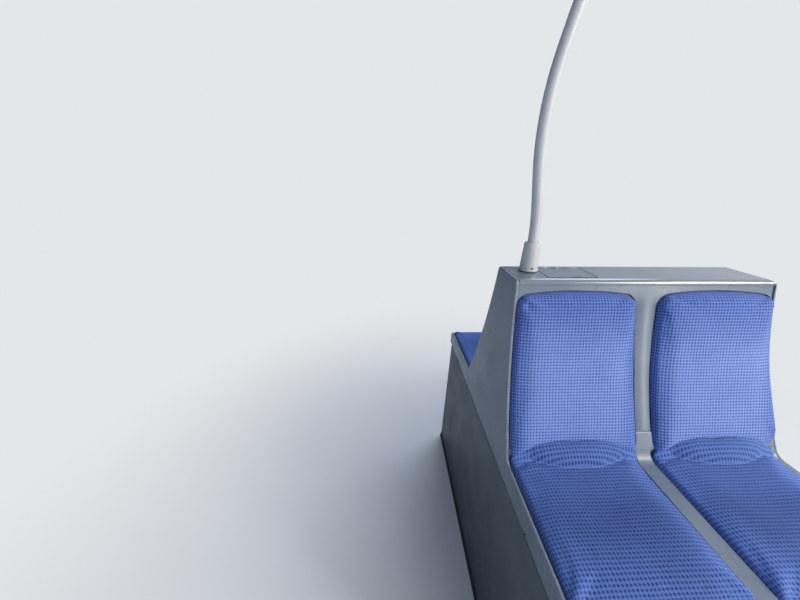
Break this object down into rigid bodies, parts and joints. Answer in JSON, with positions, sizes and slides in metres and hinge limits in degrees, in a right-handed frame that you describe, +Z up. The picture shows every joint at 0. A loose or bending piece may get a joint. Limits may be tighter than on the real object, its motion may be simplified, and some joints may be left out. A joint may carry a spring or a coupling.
{
  "type": "wheel-arch seat group of a city bus",
  "caption": "Back-to-back upholstered bus seats in one moulded console on a wheel-arch housing, with a deck flap and a bent stanchion pole to the ceiling.",
  "frame": {"origin": "on the aisle floor, under the middle of the group", "axes": "+X from the aisle to the window, +Y along the bus away from the seats that the picture faces, +Z up"},
  "size_m": [0.905, 1.22, 2.196],
  "materials": {
    "shell_plastic": "moulded, semi-gloss blue-grey",
    "grey_panel": "moulded, satin blue-grey",
    "deck_plastic": "moulded, fine grain",
    "seat_fabric": "woven plush with small dark dots",
    "coated_steel": "powder coated",
    "housing_steel": "primed and sealed sheet",
    "pole_coating": "light silver-grey powder coat",
    "pin_steel": "drawn",
    "pocket_plastic": "moulded",
    "cove_rubber": "matt"
  },
  "bodies": {
    "group": {"aisle_lower_panel": "grey_panel", "aisle_upper_panel": "shell_plastic", "arch_saddle": "housing_steel", "back_pad_front_aisle": "seat_fabric", "back_pad_front_window": "seat_fabric", "back_pad_rear_aisle": "seat_fabric", "back_pad_rear_window": "seat_fabric", "back_shell_front": "shell_plastic", "back_shell_rear": "shell_plastic", "ceiling_flange": "pole_coating", "cove_strip": "cove_rubber", "cushion_front_aisle": "seat_fabric", "cushion_front_window": "seat_fabric", "cushion_rear_aisle": "seat_fabric", "cushion_rear_window": "seat_fabric", "deck_cover": "deck_plastic", "end_apron_front": "grey_panel", "end_apron_rear": "grey_panel", "end_rail_front": "coated_steel", "end_rail_rear": "coated_steel", "flap_hinge_pin": "pin_steel", "flap_pocket": "pocket_plastic", "floor_rail_aisle": "coated_steel", "pole_socket": "pole_coating", "post_front_aisle": "coated_steel", "post_front_window": "coated_steel", "post_rear_aisle": "coated_steel", "post_rear_window": "coated_steel", "seat_pan_front": "shell_plastic", "seat_pan_rear": "shell_plastic", "stanchion_pole": "pole_coating", "wheel_arch_housing": "housing_steel", "window_side_panel": "shell_plastic"},
    "flap": {"deck_flap": "deck_plastic"}
  },
  "joints": [
    {"name": "flap_hinge", "type": "hinge", "parent": "group", "child": "flap", "pos_m": [-0.236, 0.048, 1.257], "axis": [-1, 0, 0], "range_deg": [0, 100]}
  ]
}
